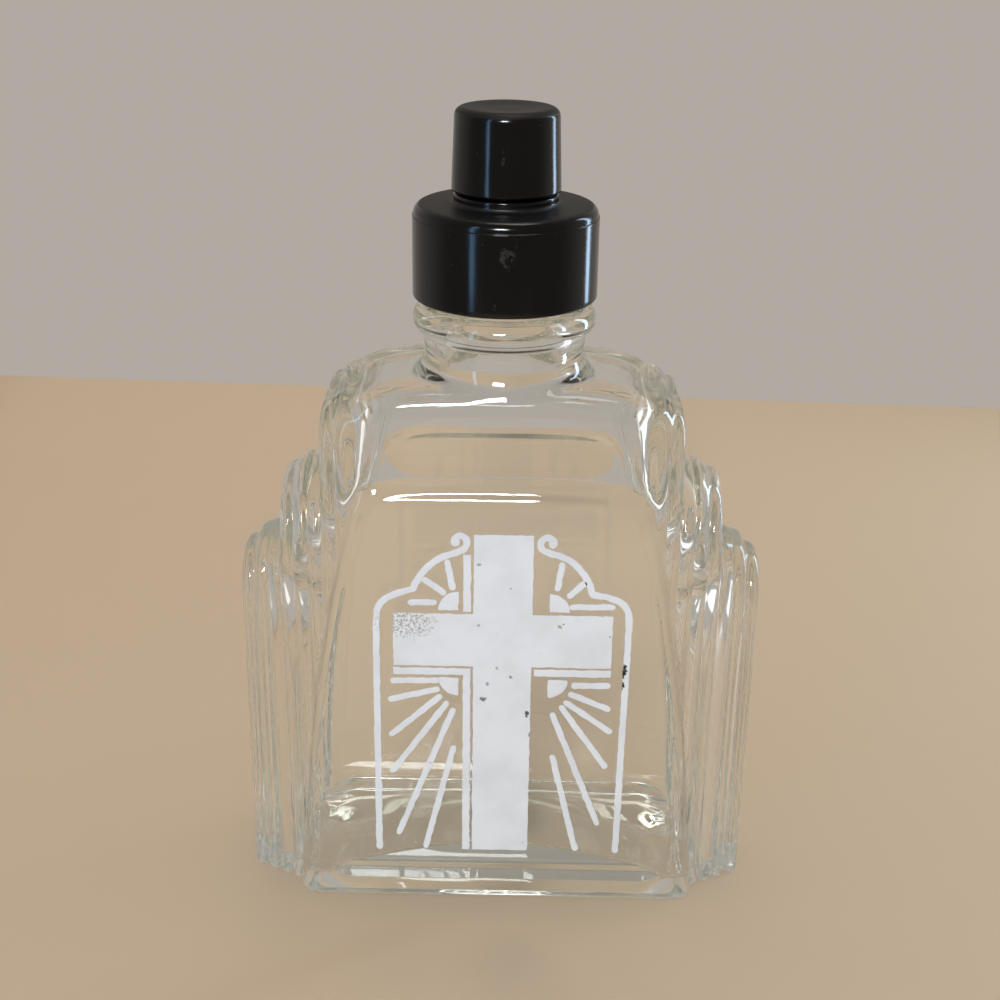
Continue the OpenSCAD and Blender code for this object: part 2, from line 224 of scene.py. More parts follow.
# Outside of the glass as a field, negative inside. Each reed is a slab with a half-round edge that runs up
# the front, over a round top and down the back. The panel and the tower are rounded blocks, and fillets
# join them all.
def shellField(x, y, z):
    g = glass
    ax, ay = np.abs(x), np.abs(y)
    field = None
    for k in reedNumber:
        py, pz = ay - crownY[k], z - crownZ[k]
        corner = np.hypot(np.maximum(py, 0), np.maximum(pz, 0))
        core = corner + np.minimum(np.maximum(py, pz), 0) - reedCrown[k]
        slab = np.hypot(np.maximum(core, 0), ax - reedX[k]) - g["reedRadius"]
        softer = fade(*(reedStep[k] - under for under in g["topBlendFade"]), z)
        field = slab if field is None else join(field, slab, g["reedBlend"] + g["topBlend"] * softer)
    narrowing = (g["panelFoot"] - g["panelHalf"]) * np.clip(z / g["panelTop"], 0, 1) ** 2
    flare = (g["footHalf"] - g["panelFoot"]) * (1 - fade(*g["flareFade"], z))
    outline = meet(ax - (g["panelFoot"] - narrowing + flare), z - g["panelTop"], g["panelCorner"])
    band = 1 - fade(g["footTop"] - g["footSlope"], g["footTop"] + g["footSlope"], z)
    depth = g["panelDepth"] + (g["footDepth"] - g["panelDepth"]) * band
    panel = meet(outline, ay - depth, g["panelEdge"] + g["footEdge"] * (1 - fade(*g["footEdgeFade"], z)))
    waist = g["waistDip"] * np.exp(-(((z - g["waistAt"]) / g["waistReach"]) ** 2))
    towerFront = g["towerDepth"] - waist - g["towerSink"] * (1 - fade(*g["towerSinkFade"], z))
    towerOutline = meet(ax - g["towerHalf"], z - towerLine(ax), g["towerCorner"])
    tower = meet(towerOutline, ay - towerFront, g["towerEdge"])
    block = join(panel, tower, g["panelBlend"])
    field = join(field, block, g["columnBlend"] + g["towerBlend"] * fade(*g["towerBlendFade"], z))
    neckField = np.maximum(np.hypot(x, y) - g["neckRadius"], g["neckLow"] - z)
    field = join(field, neckField, g["neckFillet"])
    recess = g["pushUp"] * fade(*g["recessWide"], ax) * fade(*g["recessDeep"], ay)
    return meet(field, recess - z, g["heel"])


def shellNormals(p, h=0.02):            # slope of the field, as unit vectors
    slope = np.stack([
        shellField(*(p + step).T) - shellField(*(p - step).T) for step in np.eye(3) * h
    ], 1)
    return slope / np.maximum(np.linalg.norm(slope, axis=1, keepdims=True), 1e-12)


def shellHit(start, way, far, halvings=34):   # where rays that start inside leave the glass, found by halving
    near, end = np.zeros(start.shape[:-1]), np.full(start.shape[:-1], float(far))
    for _ in range(halvings):
        half = (near + end) / 2
        p = start + way * half[..., None]
        inside = shellField(p[..., 0], p[..., 1], p[..., 2]) < 0
        near, end = np.where(inside, half, near), np.where(inside, end, half)
    return start + way * ((near + end) / 2)[..., None]


grid = dict(   # rows and columns of the body's outside, and where the rays for them start
    holeAcross=10.75,     # half width of the gap for the neck, before its rim is bent round
    holeColumns=23,
    towerColumns=25,
    reedColumns=13,
    edgeColumns=19,
    edgeReach=0.99998,    # how far out on the last reed the last section lies
    wallClear=0.14,       # beside a step's wall only these places are kept
    wallPlaces=(-0.12, -0.06, -0.025, -0.008, 0.008, 0.03, 0.07, 0.13),
    shoulderWide=3,       # the shoulder's ends, where the top is taken lower
    shoulderDrop=2,
    lowAt=20,             # height at which the heel's depth is found
    highUnder=8,          # and distance under the top for the upper edge's
    rayLength=40,
    cornerInset=6,        # rays for the upper edge fan out from this far inside it
    heelInset=3,          # and for the heel
    heelAt=4,
    baseRows=(0, 0.45, 0.8, 0.92, 0.95, 0.97, 0.99, 1),   # shares of the way from the middle to the heel
    heelRows=9,
    footRows=(4.8, 5.5, 6.1, 6.6, 7.1, 7.6, 8.1, 8.7, 9.5),
    wallRows=(11, 50, 27),   # first and last height, rows
    upperRows=25,
    cornerRows=14,
    topRows=18,
    bendFrom=0.999,       # the bend round the neck acts from the gap's border outwards
    bendEnd=23,           # and has died out here, across
    bendGap=0.1,          # and this far inside the tower's front
)


# Places across half the width, denser in the valleys and at the steps' walls
def reedStations():
    g, n = glass, grid
    half = g["reedPitch"] / 2
    turn = np.sin(np.linspace(-1, 1, n["reedColumns"]) * np.pi / 2)
    edge = np.sin(np.linspace(-1, 1, n["edgeColumns"]) * np.pi / 2)
    outer = np.where(edge < 0, edge * half, edge * g["reedRadius"] * n["edgeReach"])
    x = np.concatenate([
        np.linspace(0, n["holeAcross"], n["holeColumns"]),
        np.linspace(n["holeAcross"], reedX[0] - half, n["towerColumns"])[1:],
        *(place + turn[1:] * half for place in reedX[:-1]),
        reedX[-1] + outer[1:],
    ])
    for wall in stepEdge[:-1]:
        x = np.append(x[np.abs(x - wall) > n["wallClear"]], wall + np.array(n["wallPlaces"]))
    return np.sort(x)


# The body's outside: a closed section carried along the width, from the base up the front, over the top and
# down the back. One quarter is worked out and mirrored. The sections bend round the neck, so that its rim is
# a row of the grid.
def bodyGrid():
    g, n = glass, grid
    x = reedStations()
    count = len(x)
    shoulder = towerLine(x) - n["shoulderDrop"] * (x > g["towerHalf"] - n["shoulderWide"])
    rough = np.where(x < g["towerHalf"], shoulder, 0)
    for top, edge, curve in zip(stepTop, stepEdge, stepCurve):
        rough = np.maximum(rough, np.where(x < edge, archHeight(x, top, edge, curve), 0))
    flat = np.zeros(count)
    front = np.tile([0.0, 1.0, 0.0], (count, 1))
    lowDepth = shellHit(np.stack([x, flat, flat + n["lowAt"]], 1), front, n["rayLength"])[:, 1]
    highDepth = shellHit(np.stack([x, flat, rough - n["highUnder"]], 1), front, n["rayLength"])[:, 1]
    inset = np.minimum(n["cornerInset"], 0.5 * highDepth)
    cornerZ, cornerY = rough - inset, highDepth - inset
    heelY = lowDepth - n["heelInset"]
    starts, ways = [], []

    def row(y, z, wayY, wayZ):
        starts.append(np.stack([np.broadcast_to(v, (count,)) for v in (x, y, z)], 1))
        ways.append(np.tile([0.0, wayY, wayZ], (count, 1)))

    for s in n["baseRows"]:
        row(heelY * s, n["heelAt"], 0, -1)
    for a in np.linspace(-np.pi / 2, 0, n["heelRows"])[1:]:
        row(heelY, n["heelAt"], np.cos(a), np.sin(a))
    for z in np.concatenate([n["footRows"], np.linspace(*n["wallRows"])]):
        row(0, z, 1, 0)
    split = n["wallRows"][1]
    for s in np.linspace(0, 1, n["upperRows"])[1:]:
        row(0, split + (cornerZ - split) * s, 1, 0)
    for a in np.linspace(0, np.pi / 2, n["cornerRows"])[1:-1]:
        row(cornerY, cornerZ, np.cos(a), np.sin(a))
    for s in np.linspace(1, 0, n["topRows"] + 1):
        row(cornerY * s, cornerZ, 0, 1)
    start, way = np.stack(starts, 1), np.stack(ways, 1)
    # bend the last rows round the neck
    aim = start + way * inset[:, None, None]
    across, deep = n["holeAcross"], cornerY[:, None]
    ax, ay = aim[..., 0], aim[..., 1]
    size = np.maximum(np.maximum(ax / across, ay / deep), 1e-9)
    frontAngle = np.pi / 2 - np.pi / 4 * ax / size / across
    sideAngle = np.pi / 4 * ay / size / deep
    angle = np.where(ay / deep >= ax / across, frontAngle, sideAngle)
    pull = np.clip(1 - (ax - across) / (n["bendEnd"] - across), 0, 1)
    pull *= np.clip(1 - (ay - deep) / (g["towerDepth"] - n["bendGap"] - deep), 0, 1)
    fromTop = np.arange(start.shape[1])[::-1]
    pull *= (size > n["bendFrom"]) & (fromTop < n["topRows"] + n["cornerRows"] - 2)
    start[..., 0] += pull * (g["rimWide"] * np.cos(angle) - ax / size)
    start[..., 1] += pull * (g["rimDeep"] * np.sin(angle) - ay / size)
    quarter = shellHit(start, way, n["rayLength"])
    topRow = quarter.shape[1] - 1
    s, r = np.arange(2 * count - 1), np.arange(2 * topRow)
    points = quarter[np.abs(s - count + 1)][:, np.where(r <= topRow, r, 2 * topRow - r)].copy()
    points[..., 0] *= np.where(s < count - 1, -1, 1)[:, None]
    points[..., 1] *= np.where(r <= topRow, -1, 1)[None, :]
    return points, topRow


neck = dict(
    straightRows=(98.6, 99.4, 100.2, 100.7),   # rings between the fillet and the bead
    filletFrom=(8.5, 90.0),        # radius and height of the circle from which the fillet's rings are found
    filletRows=8,
    bead=(12.4, 103.5, 2.6),       # middle of the bead's round: radius, height, its own radius
    beadRows=18,
    finish=12.4,
    finishRows=(106.6, 107.3),     # plain rings under the thread
    threadRows=(108, 0.24),        # first ring with the thread, and their distance
    thread=dict(depth=1.1, low=110.908, pitch=4.2333, turns=1.25, foot=1.9, crest=0.9),
    lip=118.6,
    lipRound=0.9,
    lipRows=7,
    bore=9.6,
    boreRound=0.5,
    boreRoundRows=5,
    boreRows=(116, 98.5, 8),       # first and last height, rings
)


# Height of a helical ridge over its carrier: a flat crest with sloping sides that swells in and dies out
def ridge(turnAngle, z, thread, runOut=0.15):
    rise = np.zeros(np.broadcast(turnAngle, z).shape)
    for whole in range(int(np.ceil(thread["turns"])) + 1):
        a = turnAngle / (2 * np.pi) + whole
        away = np.abs(z - thread["low"] - thread["pitch"] * a)
        swell = np.clip(np.minimum(a, thread["turns"] - a) / runOut, 0, 1)
        rise = np.maximum(rise, swell * fade(thread["foot"] / 2, thread["crest"] / 2, away))
    return thread["depth"] * rise


cavity = dict(
    wall=[   # height, half width, half depth, squareness
        (98, 9.6, 9.6, 2), (96, 9.65, 9.65, 2), (94.7, 9.9, 9.8, 2), (93.7, 10.6, 10.3, 2.1),
        (93.0, 12.2, 10.9, 2.5), (92.5, 14.8, 11.4, 3.0), (92.0, 17.8, 11.75, 3.8), (91.3, 20.4, 11.93, 4.8),
        (90.2, 22.2, 12.0, 5.6), (88.2, 23.4, 12.0, 6.2), (84, 24.2, 12.0, 7), (78, 25.2, 12.0, 8),
        (74, 27.4, 12.0, 9), (70, 30.0, 12.0, 11), (66, 32.4, 12.0, 14), (62, 35.4, 12.0, 18),
        (57, 38.4, 12.0, 24), (50, 40.2, 12.0, 32), (38, 41.0, 12.0, 44), (24, 41.0, 12.0, 50),
        (12, 40.8, 12.0, 50),
    ],
    wallRows=70,
    evenFade=(94, 76),    # from round rings with even angles to long ones with even distances
    bevelAcross=1.12,     # the plan's corners are cut by a line that meets its axes this many half widths
    bevelDeep=3.4,        # and half depths from the middle
    bevelFade=(9, 22),    # as the squareness goes up
    floorMiddle=9.4,
    floorDrop=7.1,        # how much lower the floor lies at floorEnd
    floorEnd=31.6,
    floorLeast=2.4,
    floorBlend=1.2,
    floorBehind=7.8,      # the floor is level along the back wall
    floorEndDrop=5.2,     # and falls by this much towards the ends
    floorEndFade=(27, 38),
    floorAcross=(-10, 10),
    corner=1.1,
    cornerRows=10,
    endStretch=1.4,
    floorRows=12,
)


def floorHeight(x, y):                  # bowed along the front wall, level along the back, straight between
    c = cavity
    bow = c["floorMiddle"] - c["floorDrop"] * (x / c["floorEnd"]) ** 2
    front = meet(bow, np.full_like(bow, c["floorLeast"]), c["floorBlend"])
    behind = c["floorBehind"] - c["floorEndDrop"] * fade(*c["floorEndFade"], np.abs(x))
    return front + (behind - front) * fade(*c["floorAcross"], y)


def ring(angle, halfX, halfY, power):   # polar superellipse, its corners cut off where it is nearly square
    c, s = np.cos(angle), np.sin(angle)
    line = np.abs(c) / (halfX * cavity["bevelAcross"]) + np.abs(s) / (halfY * cavity["bevelDeep"])
    cut = fade(*cavity["bevelFade"], power) * line
    reach = (np.abs(c / halfX) ** power + np.abs(s / halfY) ** power + cut**power) ** (-1 / power)
    return reach * c, reach * s


def evenAngles(angle, halfX, halfY, power, steps=4000):   # angles that space points evenly along such a ring
    a = np.linspace(0, 2 * np.pi, steps + 1)
    px, py = ring(a, halfX, halfY, power)
    length = np.concatenate([[0], np.cumsum(np.hypot(np.diff(px), np.diff(py)))])
    return np.interp(np.mod(angle, 2 * np.pi) / (2 * np.pi) * length[-1], length, a)


# Neck and inside: rings that go up the neck, over the lip, down the bore and along the cavity to the floor's
# middle. A ring is a superellipse: round in the bore, a long soft rectangle lower down.
def insideRows(rim):
    g, n, c = glass, neck, cavity
    angle = np.mod(np.arctan2(rim[:, 1] / g["rimDeep"], rim[:, 0] / g["rimWide"]), 2 * np.pi)

    def level(x, y, z):
        return np.stack(np.broadcast_arrays(x, y, z), 1)

    def circle(r, z):
        return level(r * np.cos(angle), r * np.sin(angle), z)

    def quarterTurn(count):
        return np.linspace(0, np.pi / 2, count)

    middle, top = circle(*n["filletFrom"]), circle(g["neckRadius"], n["straightRows"][0])
    out = []
    for s in np.linspace(0, 1, n["filletRows"])[1:-1]:
        out.append(shellHit(middle, rim + (top - rim) * s - middle, far=2))
    out += [circle(g["neckRadius"], z) for z in n["straightRows"]]
    beadR, beadZ, beadSize = n["bead"]
    begin = -np.arccos((g["neckRadius"] - beadR) / beadSize)
    for a in np.linspace(begin, np.pi / 2, n["beadRows"]):
        out.append(circle(beadR + beadSize * np.cos(a), beadZ + beadSize * np.sin(a)))
    lip, lipRound, boreRound = n["lip"], n["lipRound"], n["boreRound"]
    edge = lip - lipRound
    first, apart = n["threadRows"]
    for z in np.concatenate([n["finishRows"], np.arange(first, edge, apart)]):
        out.append(circle(n["finish"] + ridge(angle, z, n["thread"]), z))
    for a in quarterTurn(n["lipRows"]):
        out.append(circle(n["finish"] - lipRound * (1 - np.cos(a)), edge + lipRound * np.sin(a)))
    for a in quarterTurn(n["boreRoundRows"]):
        out.append(circle(n["bore"] + boreRound * (1 - np.sin(a)), lip - boreRound * (1 - np.cos(a))))
    out += [circle(n["bore"], z) for z in np.linspace(*n["boreRows"])]
    even = evenAngles(angle, *c["wall"][-1][1:])
    table = curveThrough(c["wall"], c["wallRows"])
    for z, *sizes in table:
        out.append(level(*ring(angle + (even - angle) * fade(*c["evenFade"], z), *sizes), z))
    halfX, halfY, power = table[-1, 1:]
    for a in quarterTurn(c["cornerRows"]):
        inset = c["corner"] * (1 - np.cos(a))
        px, py = ring(even, halfX - inset * c["endStretch"], halfY - inset, power)
        out.append(level(px, py, floorHeight(px, py) + c["corner"] * (1 - np.sin(a))))
    endX, endY = ring(even, halfX - c["corner"] * c["endStretch"], halfY - c["corner"], power)
    for s in np.linspace(1, 0, c["floorRows"])[1:-1]:
        out.append(level(endX * s, endY * s, floorHeight(endX * s, endY * s)))
    return np.stack(out), np.array([[0, 0, floorHeight(np.zeros(1), np.zeros(1))[0]]])


def gridNormals(p):                     # normals of a ring grid from its own slopes
    along = np.empty_like(p)
    along[1:-1] = p[2:] - p[:-2]
    along[0], along[-1] = p[1] - p[0], p[-1] - p[-2]
    around = np.roll(p, -1, 1) - np.roll(p, 1, 1)
    n = np.cross(around, along)
    return n / np.maximum(np.linalg.norm(n, axis=2, keepdims=True), 1e-12)


# The outer grid with a gap in its top, the ring grid from the gap's rim inwards, a fan on the cavity's floor
# and the two narrow ends
def buildGlass():
    body, topRow = bodyGrid()
    stations, loop = body.shape[:2]
    middle = (stations - 1) // 2
    left, right = middle - grid["holeColumns"] + 1, middle + grid["holeColumns"] - 1
    frontRow, backRow = topRow - grid["topRows"], topRow + grid["topRows"]
    ids = np.arange(stations * loop).reshape(stations, loop)
    faces = gridFaces(ids, wrapCols=True).reshape(stations - 1, loop, 4)
    keep = np.ones(faces.shape[:2], bool)
    keep[left:right, frontRow:backRow] = False
    rimIds = np.concatenate([
        ids[middle:right, frontRow], ids[right, frontRow:backRow], ids[left + 1:right + 1, backRow][::-1],
        ids[left, frontRow + 1:backRow + 1][::-1], ids[left:middle, frontRow],
    ])
    flat = body.reshape(-1, 3)
    rim = flat[rimIds]
    inner, pole = insideRows(rim)
    innerIds = len(flat) + np.arange(inner.shape[0] * inner.shape[1]).reshape(inner.shape[:2])
    last = innerIds[-1]
    points = np.vstack([flat, inner.reshape(-1, 3), pole])
    innerNormals = gridNormals(np.concatenate([rim[None], inner]))[1:].reshape(-1, 3)
    normals = np.vstack([shellNormals(flat), innerNormals, [[0, 0, 1.0]]])
    quads = np.vstack([faces[keep], gridFaces(np.vstack([rimIds, innerIds]), wrapCols=True)[:, ::-1]])
    tips = np.stack([last, np.roll(last, -1), np.full_like(last, last[-1] + 1)], 1)
    used = np.zeros(len(points), bool)
    used[quads.ravel()] = True
    used[tips.ravel()] = True
    new = np.cumsum(used) - 1
    every = new[quads].tolist() + new[tips].tolist() + [new[ids[0]].tolist(), new[ids[-1][::-1]].tolist()]
    return makePiece("bottle_glass", points[used], every, normals[used])


bottleGlass = buildGlass()
print("glass:", len(bottleGlass.data.vertices), "points")


# The closure
def roundEdge(r, z, size, a0, a1, count=7):   # part of a small circle, angles in degrees
    a = np.radians(np.linspace(a0, a1, count))
    return np.stack([r + size * np.cos(a), z + size * np.sin(a)], 1)


def straight(r0, z0, r1, z1, count):    # even points along a line
    return np.stack([np.linspace(r0, r1, count), np.linspace(z0, z1, count)], 1)


def upright(r, span, count):            # the same at one radius
    return straight(r, span[0], r, span[1], count)


def flatLine(span, z, count):           # and at one height
    return straight(span[0], z, span[1], z, count)


# A profile of radius and height turned about the axis, with a helical ridge on the radius that has a thread
def turned(profile, segments, closed, *threads):
    angle = np.arange(segments)[:, None] * 2 * np.pi / segments
    z = np.tile(profile[:, 1], (segments, 1))
    r = np.tile(profile[:, 0], (segments, 1))
    for thread in threads:
        r = r + np.where(np.abs(profile[:, 0] - thread["on"]) < 1e-6, ridge(angle, z, thread), 0)
    return gridPart(np.stack([r * np.cos(angle), r * np.sin(angle), z], -1), wrapRows=True, wrapCols=closed)


def gather(parts):                      # one list of points and faces from several
    points, faces, total = [], [], 0
    for p, f in parts:
        points.append(p)
        faces += [[int(v) + total for v in face] for face in f]
        total += len(p)
    return np.vstack(points), faces


collar = dict(
    radius=15.0,
    low=107.0,
    lowInner=0.25,        # roundings of the lower edge, inside and outside
    lowOuter=0.4,
    skirtSpan=(108.0, 119.9),   # each span is a straight stretch, clear of the roundings
    skirtTop=120.2,
    skirtEdge=0.14,
    shoulderRadius=14.8,
    shoulderLow=120.3,
    shoulderFoot=0.06,
    shoulderRound=1.5,
    shoulderTop=121.94,
    topOuter=(12.8, 121.95),   # the upper face rises a little inwards
    topInner=(9.7, 122.0),
    inner=13.85,
    innerSpan=(119.3, 107.3),
    ceiling=119.6,
    ceilingSpan=(5.0, 13.45),
    ring=8.4,
    ringFoot=0.7,
    ringSpan=(122.9, 123.2),
    ringTop=123.7,
    ringEdge=0.4,
    ringFlat=(7.6, 6.55),
    spout=6.2,
    spoutFoot=0.25,
    spoutSpan=(124.3, 132.95),
    spoutTop=133.4,
    spoutEdge=0.45,
    spoutFlat=(5.2, 3.4),
    bore=4.2,
    boreSpan=(131.0, 119.6),
    plateUnder=131.8,
    plate=3.4,            # radius of the plate's part with holes
    plateInner=1.25,      # radius at which the outer six holes' sectors begin
    holeRing=2.3,
    hole=0.6,
    segments=144,
    neckThread=dict(on=13.85, depth=-1.1, low=108.791, pitch=4.2333, turns=1.25, foot=1.9, crest=0.9),
    spoutThread=dict(on=6.2, depth=0.85, low=127.5, pitch=3.0, turns=1.5, foot=1.2, crest=0.5),
)


# End of the spout, in plan: a disc with a hole in the middle and six around it. Each sixth is a grid of loops
# that shrink from the sector's own border to the hole's circle.
def sprinklerPlate(c, side=6, small=6, loops=6, rings=4):
    outer, inner, grids = c["plate"], c["plateInner"], []
    perSixth = c["segments"] // 6
    for k in range(6):
        a0 = k * np.pi / 3
        arc = a0 + np.linspace(0, np.pi / 3, perSixth + 1)[:-1]
        back = a0 + np.linspace(np.pi / 3, 0, small + 1)[:-1]
        out, into = np.linspace(outer, inner, side + 1)[:-1], np.linspace(inner, outer, side + 1)[:-1]
        radius = np.concatenate([np.full(perSixth, outer), out, np.full(small, inner), into])
        angle = np.concatenate([arc, np.full(side, a0 + np.pi / 3), back, np.full(side, a0)])
        border = np.stack([radius * np.cos(angle), radius * np.sin(angle)], 1)
        middle = c["holeRing"] * np.array([np.cos(a0 + np.pi / 6), np.sin(a0 + np.pi / 6)])
        way = border - middle
        circle = middle + c["hole"] * way / np.linalg.norm(way, axis=1, keepdims=True)
        grids.append(np.stack([border + (circle - border) * s for s in np.linspace(0, 1, loops)]))
    angle = np.arange(6 * small) * np.pi / 3 / small
    unit = np.stack([np.cos(angle), np.sin(angle)], 1)
    return grids + [np.linspace(inner, c["hole"], rings)[:, None, None] * unit]


def atHeight(plan, z):                  # a plan's points, all at one height
    return np.concatenate([plan, np.full(plan.shape[:-1] + (1,), z)], -1)


def spoutEnd(c):                        # both faces of the plate, and short tubes between their holes
    plans = sprinklerPlate(c)
    upper = [atHeight(plan, c["spoutTop"]) for plan in plans]
    lower = [atHeight(plan, c["plateUnder"]) for plan in plans]
    tubes = [np.stack([over[-1], under[-1]]) for over, under in zip(upper, lower)]
    return [gridPart(points, wrapCols=True) for points in upper + lower + tubes]


# Profile from under the plate down the bore, out and down inside the skirt, up its outside, over the
# shoulder and the ring, and up the spout to its end
def buildCollar(c):
    inner, radius, ring, spout, shoulder = c["inner"], c["radius"], c["ring"], c["spout"], c["shoulderRadius"]
    low, skirtTop, ringTop, spoutTop = c["low"], c["skirtTop"], c["ringTop"], c["spoutTop"]
    lowInner, lowOuter, skirtEdge, bend = c["lowInner"], c["lowOuter"], c["skirtEdge"], c["shoulderRound"]
    ringFoot, ringEdge, spoutFoot, spoutEdge = c["ringFoot"], c["ringEdge"], c["spoutFoot"], c["spoutEdge"]
    profile = np.vstack([
        flatLine((c["plate"], c["bore"]), c["plateUnder"], 3),
        upright(c["bore"], c["boreSpan"], 6),
        flatLine(c["ceilingSpan"], c["ceiling"], 5),
        upright(inner, c["innerSpan"], 42),
        roundEdge(inner + lowInner, low + lowInner, lowInner, 180, 270, 5),
        roundEdge(radius - lowOuter, low + lowOuter, lowOuter, 270, 360),
        upright(radius, c["skirtSpan"], 12),
        roundEdge(radius - skirtEdge, skirtTop - skirtEdge, skirtEdge, 0, 90, 4),
        roundEdge(shoulder + c["shoulderFoot"], c["shoulderLow"], c["shoulderFoot"], 270, 180, 4),
        roundEdge(shoulder - bend, c["shoulderTop"] - bend, bend, 0, 88, 14),
        straight(*c["topOuter"], *c["topInner"], 5),
        roundEdge(ring + ringFoot, c["topInner"][1] + ringFoot, ringFoot, 268, 180),
        upright(ring, c["ringSpan"], 3),
        roundEdge(ring - ringEdge, ringTop - ringEdge, ringEdge, 0, 90),
        flatLine(c["ringFlat"], ringTop, 4),
        roundEdge(spout + spoutFoot, ringTop + spoutFoot, spoutFoot, 270, 190, 4),
        upright(spout, c["spoutSpan"], 36),
        roundEdge(spout - spoutEdge, spoutTop - spoutEdge, spoutEdge, 10, 90),
        flatLine(c["spoutFlat"], spoutTop, 4),
    ])
    shell = turned(profile, c["segments"], False, c["neckThread"], c["spoutThread"])
    return makePiece("collar_shell", *gather([shell] + spoutEnd(c)), weld=True)


cap = dict(
    low=124.0,
    lowInner=0.25,        # roundings of the lower edge, inside and outside
    lowOuter=0.45,
    radius=8.75,
    side=(8.74, 124.9, 8.35, 135.3),   # from radius and height, to radius and height
    top=137.0,
    topRadius=8.35,
    edge=1.5,
    dish=0.28,            # how deep the top is dished
    dishFade=(1.0, 0.35),
    inner=7.4,
    innerSpan=(134.0, 124.4),
    ceiling=134.4,
    ceilingSpan=(0, 7.0),
    segments=128,
    thread=dict(on=7.4, depth=-0.85, low=126.0, pitch=3.0, turns=1.5, foot=1.2, crest=0.5),
)


# Profile from the ceiling's middle down the inside, round the lower edge, up the side and in over the dish
def buildCap(c):
    low, inner, lowInner, lowOuter = c["low"], c["inner"], c["lowInner"], c["lowOuter"]
    flat = c["topRadius"] - c["edge"]
    dish = np.linspace(flat, 0, 16)
    sag = c["dish"] * fade(*c["dishFade"], dish / flat)
    profile = np.vstack([
        flatLine(c["ceilingSpan"], c["ceiling"], 6),
        upright(inner, c["innerSpan"], 36),
        roundEdge(inner + lowInner, low + lowInner, lowInner, 180, 270, 5),
        roundEdge(c["radius"] - lowOuter, low + lowOuter, lowOuter, 270, 360),
        straight(*c["side"], 12),
        roundEdge(flat, c["top"] - c["edge"], c["edge"], 2, 90, 14),
        np.stack([dish, c["top"] - sag], 1)[1:],
    ])
    return makePiece("cap_shell", *turned(profile, c["segments"], False, c["thread"]), weld=True)


seals = dict(
    collarIn=9.2,
    collarOut=13.3,
    collarFlat=(10, 13),  # level stretch between the rounded edges
    collarLow=118.6,
    capOut=6.95,
    capLow=133.4,
    thick=1.0,
    edge=0.15,
    segments=96,
)


# A ring and a disc, turned from rectangles with rounded edges
def buildSeals(s):
    e, inside, outside = s["edge"], s["collarIn"], s["collarOut"]
    under, over = s["collarLow"], s["collarLow"] + s["thick"]
    wide = np.vstack([
        upright(inside, (over - e, under + e), 3),
        roundEdge(inside + e, under + e, e, 190, 270, 4),
        flatLine(s["collarFlat"], under, 6),
        roundEdge(outside - e, under + e, e, 280, 360, 4),
        roundEdge(outside - e, over - e, e, 0, 90, 4),
        flatLine(s["collarFlat"][::-1], over, 6),
        roundEdge(inside + e, over - e, e, 90, 170, 4),
    ])
    ringSeal = makePiece("collar_seal_ring", *turned(wide, s["segments"], True), weld=True)
    outside, under, over = s["capOut"], s["capLow"], s["capLow"] + s["thick"]
    disc = np.vstack([
        flatLine((0, outside - 2 * e), under, 8),
        roundEdge(outside - e, under + e, e, 280, 360, 4),
        roundEdge(outside - e, over - e, e, 0, 90, 4),
        flatLine((outside - 2 * e, 0), over, 8),
    ])
    return ringSeal, makePiece("cap_seal_disc", *turned(disc, s["segments"], False), weld=True)


collarShell = buildCollar(collar)
capShell = buildCap(cap)
collarSeal, capSeal = buildSeals(seals)
print("closure: collar, cap and two seals")


